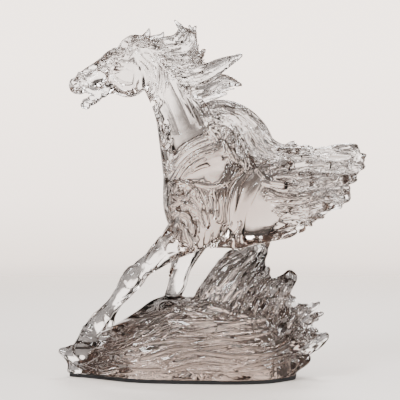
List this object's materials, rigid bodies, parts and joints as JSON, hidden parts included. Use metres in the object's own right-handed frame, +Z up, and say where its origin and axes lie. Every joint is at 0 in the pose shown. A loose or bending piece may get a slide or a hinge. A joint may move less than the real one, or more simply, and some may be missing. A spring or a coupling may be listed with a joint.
{
  "type": "horse figurine",
  "caption": "Clear cast-crystal ornament: the front half of a galloping horse that breaks out of a splashing wave, standing on a thin black base pad.",
  "frame": {"origin": "middle of the flat underside of the base pad", "axes": "+Z up, the horse gallops towards -X, +Y its far side as seen in the main view"},
  "size_m": [0.3043, 0.1124, 0.3561],
  "materials": {
    "crystal": "polished, clear, a faint warm grey where thick",
    "pad": "matt black"
  },
  "bodies": {
    "root": {"horse_on_wave": "crystal", "base_pad": "pad"}
  },
  "joints": []
}
